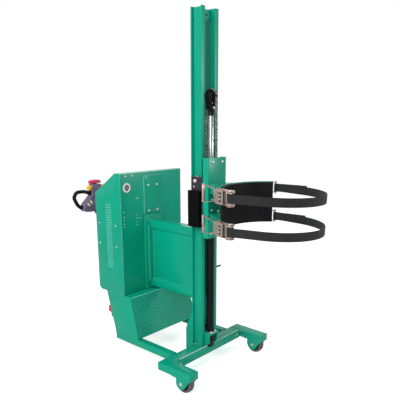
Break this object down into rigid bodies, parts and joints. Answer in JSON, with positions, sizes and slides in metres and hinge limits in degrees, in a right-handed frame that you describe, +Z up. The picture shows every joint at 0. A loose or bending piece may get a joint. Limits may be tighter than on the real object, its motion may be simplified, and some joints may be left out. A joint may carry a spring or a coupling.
{
  "type": "drum lifter",
  "caption": "Powered pedestrian drum lifter: twin-channel mast, chain-and-cylinder lift, strap cradle with ratchets, housing and steered drive with tiller",
  "frame": {"origin": "Middle of the footprint on the floor, halfway between the front of the straps and the rear of the tiller head", "axes": "+Z up, -Y towards the drum side, +Y towards the tiller, X across; the ratchets are on the -X side"},
  "size_m": [0.834, 1.9974, 2.265],
  "materials": {
    "green_paint": "gloss",
    "black_paint": "satin",
    "black_rubber": "matte",
    "grey_tyre": "satin",
    "steel": "satin",
    "zinc": "satin",
    "gold_zinc": "satin",
    "chrome": "polished",
    "chain_steel": "oiled",
    "webbing": "woven",
    "head_plastic": "matte",
    "yellow_plastic": "satin",
    "cream_plastic": "satin",
    "red_plastic": "satin",
    "gauge_ring": "satin"
  },
  "bodies": {
    "chassis": {"crossbeam": "green_paint", "leg_left": "green_paint", "leg_right": "green_paint", "side_frame_left": "green_paint", "side_frame_right": "green_paint", "counterweight": "green_paint", "mast_web_left": "green_paint", "mast_web_right": "green_paint", "mast_flange_front_left": "green_paint", "mast_flange_front_right": "green_paint", "mast_flange_rear_left": "green_paint", "mast_flange_rear_right": "green_paint", "mast_top_tie": "green_paint", "chain_anchor": "green_paint", "cylinder_tube": "black_paint", "housing_shell": "green_paint", "side_panel_left": "green_paint", "side_panel_right": "green_paint", "battery_gauge": "gauge_ring", "power_pack": "black_paint", "spine_frame": "green_paint", "rear_deck": "green_paint", "wheel_skirt": "green_paint", "power_cable": "black_rubber"},
    "rod": {"lift_rod": "chrome", "sheave_yoke": "black_paint", "chain_rear": "chain_steel", "chain_wrap": "chain_steel"},
    "sheave": {"chain_sheave": "black_paint"},
    "carriage": {"carriage_channel": "green_paint", "roller_plate_left": "black_paint", "roller_plate_right": "black_paint", "cradle_upper": "green_paint", "cradle_lower": "green_paint", "cradle_pad": "black_rubber", "chain_front": "chain_steel", "ratchet_frame_upper": "gold_zinc", "ratchet_frame_lower": "gold_zinc", "strap_upper": "webbing", "strap_lower": "webbing"},
    "upper_left_roller": {"roller_upper_left": "steel"},
    "upper_right_roller": {"roller_upper_right": "steel"},
    "lower_left_roller": {"roller_lower_left": "steel"},
    "lower_right_roller": {"roller_lower_right": "steel"},
    "upper_handle": {"ratchet_handle_upper": "zinc"},
    "lower_handle": {"ratchet_handle_lower": "zinc"},
    "upper_spool": {"ratchet_spool_upper": "zinc"},
    "lower_spool": {"ratchet_spool_lower": "zinc"},
    "left_front_wheel": {"front_wheel_left": "grey_tyre"},
    "right_front_wheel": {"front_wheel_right": "grey_tyre"},
    "steered_drive": {"drive_unit": "black_paint"},
    "traction_wheel": {"drive_wheel": "grey_tyre"},
    "tiller": {"tiller_arm": "black_paint", "tiller_head": "head_plastic", "hand_loop_left": "black_rubber", "hand_loop_right": "black_rubber"},
    "belly_cap": {"belly_button": "red_plastic"},
    "thumb_switch": {"butterfly_switch": "yellow_plastic"},
    "raise_key": {"lift_button": "cream_plastic"},
    "lower_key": {"lower_button": "cream_plastic"}
  },
  "joints": [
    {"name": "rod_lift", "type": "slide", "parent": "chassis", "child": "rod", "axis": [0, 0, 1], "range_m": [-0.34, 0.375], "deforming": ["chain_rear"]},
    {"name": "carriage_lift", "type": "slide", "parent": "rod", "child": "carriage", "axis": [0, 0, 1], "range_m": [-0.34, 0.375], "deforming": ["chain_front"]},
    {"name": "sheave_spin", "type": "hinge", "parent": "rod", "child": "sheave", "pos_m": [0, -0.22725, 1.768], "axis": [1, 0, 0], "range_deg": [-525, 476]},
    {"name": "roller_upper_left_spin", "type": "hinge", "parent": "carriage", "child": "upper_left_roller", "pos_m": [0.066, -0.17325, 1.262], "axis": [1, 0, 0], "range_deg": [-1218, 1343]},
    {"name": "roller_lower_left_spin", "type": "hinge", "parent": "carriage", "child": "lower_left_roller", "pos_m": [0.066, -0.17325, 1.02], "axis": [1, 0, 0], "range_deg": [-1343, 1218]},
    {"name": "roller_upper_right_spin", "type": "hinge", "parent": "carriage", "child": "upper_right_roller", "pos_m": [-0.066, -0.17325, 1.262], "axis": [1, 0, 0], "range_deg": [-1218, 1343]},
    {"name": "roller_lower_right_spin", "type": "hinge", "parent": "carriage", "child": "lower_right_roller", "pos_m": [-0.066, -0.17325, 1.02], "axis": [1, 0, 0], "range_deg": [-1343, 1218]},
    {"name": "upper_handle_swing", "type": "hinge", "parent": "carriage", "child": "upper_handle", "pos_m": [-0.30523, -0.62746, 1.222], "axis": [0, 0, 1], "range_deg": [0, 150]},
    {"name": "upper_spool_turn", "type": "hinge", "parent": "carriage", "child": "upper_spool", "pos_m": [-0.30523, -0.62746, 1.222], "axis": [0, 0, 1], "continuous": true},
    {"name": "lower_handle_swing", "type": "hinge", "parent": "carriage", "child": "lower_handle", "pos_m": [-0.30523, -0.62746, 1.04], "axis": [0, 0, 1], "range_deg": [0, 150]},
    {"name": "lower_spool_turn", "type": "hinge", "parent": "carriage", "child": "lower_spool", "pos_m": [-0.30523, -0.62746, 1.04], "axis": [0, 0, 1], "continuous": true},
    {"name": "front_wheel_left_roll", "type": "hinge", "parent": "chassis", "child": "left_front_wheel", "pos_m": [0.3695, -0.34225, 0.064], "axis": [1, 0, 0], "continuous": true},
    {"name": "front_wheel_right_roll", "type": "hinge", "parent": "chassis", "child": "right_front_wheel", "pos_m": [-0.3695, -0.34225, 0.064], "axis": [1, 0, 0], "continuous": true},
    {"name": "steer", "type": "hinge", "parent": "chassis", "child": "steered_drive", "pos_m": [0, 0.62375, 0.29], "axis": [0, 0, 1], "range_deg": [-90, 90]},
    {"name": "drive_roll", "type": "hinge", "parent": "steered_drive", "child": "traction_wheel", "pos_m": [0, 0.62375, 0.115], "axis": [1, 0, 0], "continuous": true},
    {"name": "tiller_tilt", "type": "hinge", "parent": "steered_drive", "child": "tiller", "pos_m": [0, 0.69375, 0.47], "axis": [-1, 0, 0], "range_deg": [0, 70], "stiffness_Nm_per_rad": 30, "springref_deg": -68.75},
    {"name": "belly_press", "type": "slide", "parent": "tiller", "child": "belly_cap", "axis": [0, 0, -1], "range_m": [0, 0.006], "stiffness_N_per_m": 800, "springref_m": -0.006},
    {"name": "thumb_turn", "type": "hinge", "parent": "tiller", "child": "thumb_switch", "pos_m": [0, 0.96075, 1.113], "axis": [1, 0, 0], "range_deg": [-25, 25], "stiffness_Nm_per_rad": 0.4},
    {"name": "raise_press", "type": "slide", "parent": "tiller", "child": "raise_key", "axis": [0, 1, 0], "range_m": [0, 0.003], "stiffness_N_per_m": 400, "springref_m": -0.003},
    {"name": "lower_press", "type": "slide", "parent": "tiller", "child": "lower_key", "axis": [0, 1, 0], "range_m": [0, 0.003], "stiffness_N_per_m": 400, "springref_m": -0.003}
  ],
  "couplings": [
    {"joint": "carriage_lift", "follows": "rod_lift", "ratio": 1},
    {"joint": "sheave_spin", "follows": "rod_lift", "rad_per_m": -24.39},
    {"joint": "roller_upper_left_spin", "follows": "rod_lift", "rad_per_m": 62.5},
    {"joint": "roller_lower_left_spin", "follows": "rod_lift", "rad_per_m": -62.5},
    {"joint": "roller_upper_right_spin", "follows": "rod_lift", "rad_per_m": 62.5},
    {"joint": "roller_lower_right_spin", "follows": "rod_lift", "rad_per_m": -62.5}
  ]
}
